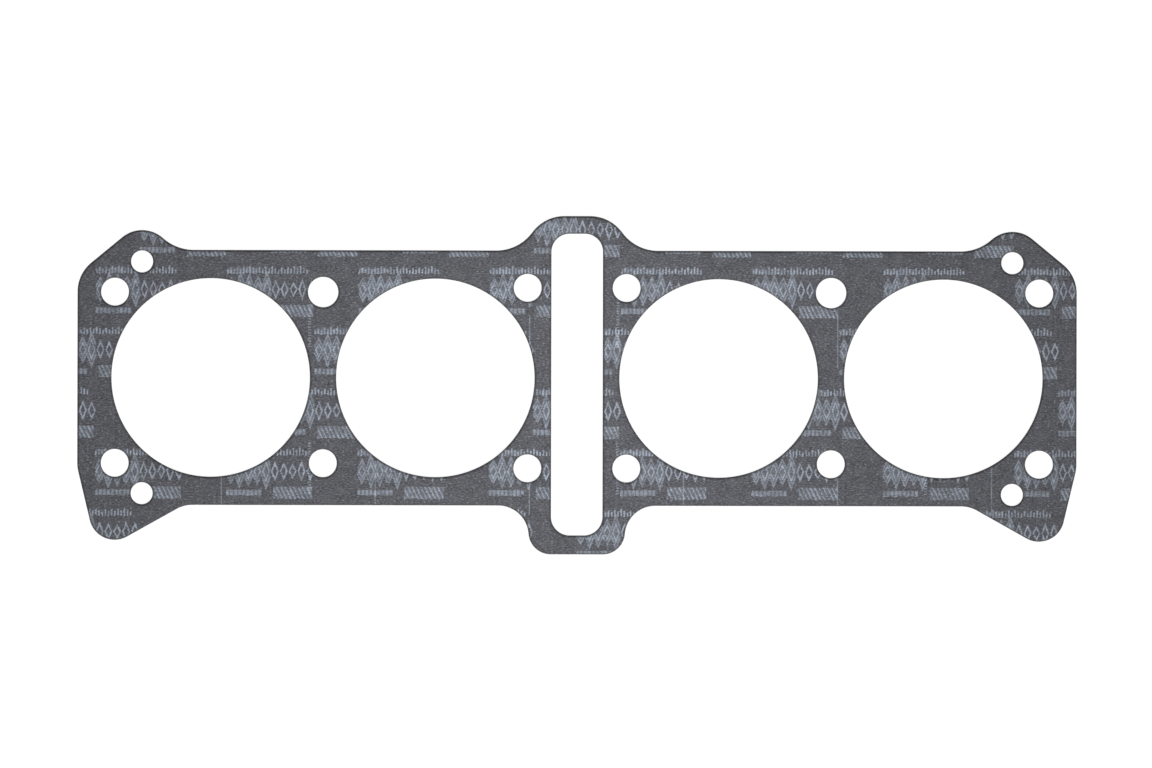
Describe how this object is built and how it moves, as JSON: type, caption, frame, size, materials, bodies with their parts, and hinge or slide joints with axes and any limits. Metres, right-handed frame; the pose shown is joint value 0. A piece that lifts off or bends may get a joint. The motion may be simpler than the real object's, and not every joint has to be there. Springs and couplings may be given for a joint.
{
  "type": "cylinder base gasket",
  "caption": "Thin flat die-cut fibre gasket: a row of large round sleeve openings, small stud holes round them, lobed corners and a tall central slot for the cam chain.",
  "frame": {"origin": "centre of the stud pattern, midway between the two middle sleeve openings, on the lower face", "axes": "+X along the row of sleeve openings, +Y towards the end of the cam chain slot whose surround reaches out less and which has the two dowel holes on its side, +Z out of the printed upper face"},
  "size_m": [0.3958, 0.134, 0.0005],
  "materials": {
    "fibre_sheet": "matte"
  },
  "bodies": {
    "root": {"gasket": "fibre_sheet"}
  },
  "joints": []
}
